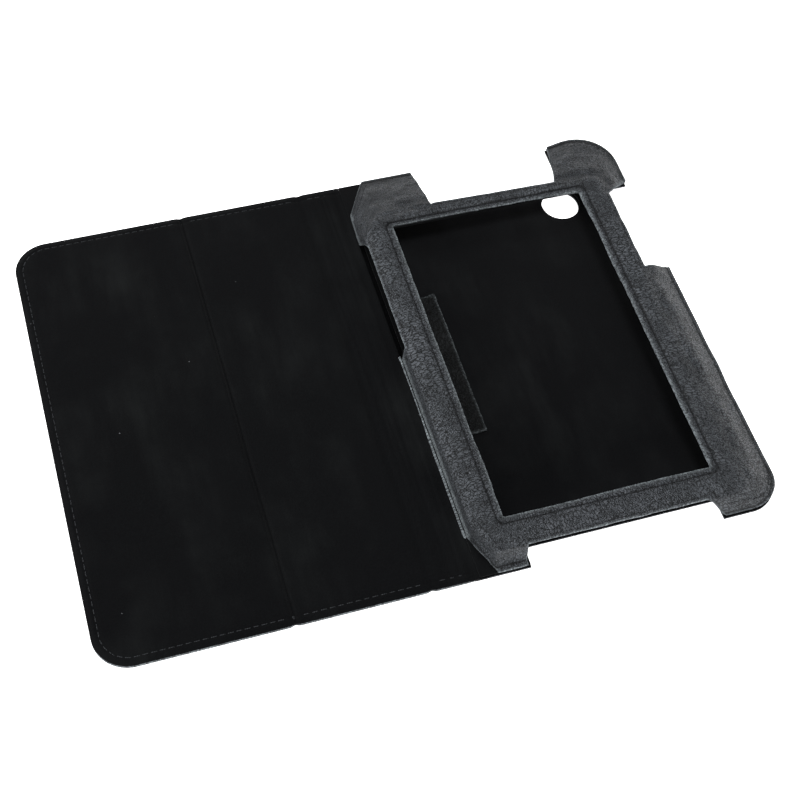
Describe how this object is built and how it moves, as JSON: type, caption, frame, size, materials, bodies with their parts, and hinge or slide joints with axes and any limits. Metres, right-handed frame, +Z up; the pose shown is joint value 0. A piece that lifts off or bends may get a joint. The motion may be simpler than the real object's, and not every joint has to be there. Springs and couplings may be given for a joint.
{
  "type": "folio tablet case",
  "caption": "Black leather folio case for a small tablet, lying open, with a creased cover that folds into a stand and a moulded window frame with corner pockets.",
  "frame": {"origin": "under the middle of the open case's bounding box, on the surface it lies on", "axes": "+X from the cover's free edge towards the holder, +Y towards the top edge of the case, +Z up out of the lining"},
  "size_m": [0.2864, 0.21, 0.0157],
  "materials": {
    "leather": "pebbled grain, satin",
    "suede": "napped suede, matt",
    "thread": "twisted polyester thread",
    "board": "raw grey board",
    "stiffener": "matt",
    "interlining": "felted"
  },
  "bodies": {
    "holder": {"back_leather": "leather", "back_board": "board", "back_lining": "suede", "frame_leather": "leather", "frame_stiffener": "stiffener", "frame_lining": "suede", "window_stitches": "thread", "seam_stitches_top_left": "thread", "seam_stitches_top_right": "thread", "seam_stitches_bottom_right": "thread", "seam_stitches_bottom_left": "thread"},
    "spine": {"spine_leather": "leather", "spine_interlining": "interlining", "spine_lining": "suede", "spine_stitches_top": "thread", "spine_stitches_bottom": "thread"},
    "inner_cover": {"inner_cover_leather": "leather", "inner_cover_board": "board", "inner_cover_lining": "suede", "inner_cover_stitches_top": "thread", "inner_cover_stitches_bottom": "thread"},
    "outer_cover": {"outer_cover_leather": "leather", "outer_cover_board": "board", "outer_cover_lining": "suede", "outer_cover_stitches": "thread"},
    "tuck_flap": {"tuck_flap": "leather"}
  },
  "joints": [
    {"name": "spine_fold", "type": "hinge", "parent": "holder", "child": "spine", "pos_m": [0.00647, 0, 0.0005], "axis": [0, 1, 0], "range_deg": [-90, 90]},
    {"name": "cover_fold", "type": "hinge", "parent": "spine", "child": "inner_cover", "pos_m": [-0.01082, 0, 0.0005], "axis": [0, 1, 0], "range_deg": [-45, 90]},
    {"name": "stand_fold", "type": "hinge", "parent": "inner_cover", "child": "outer_cover", "pos_m": [-0.06638, 0, 0.0005], "axis": [0, 1, 0], "range_deg": [-85, 0]},
    {"name": "flap_lift", "type": "hinge", "parent": "holder", "child": "tuck_flap", "pos_m": [0.01328, -0.0039, 0.0032], "axis": [0, -1, 0], "range_deg": [0, 24]}
  ]
}
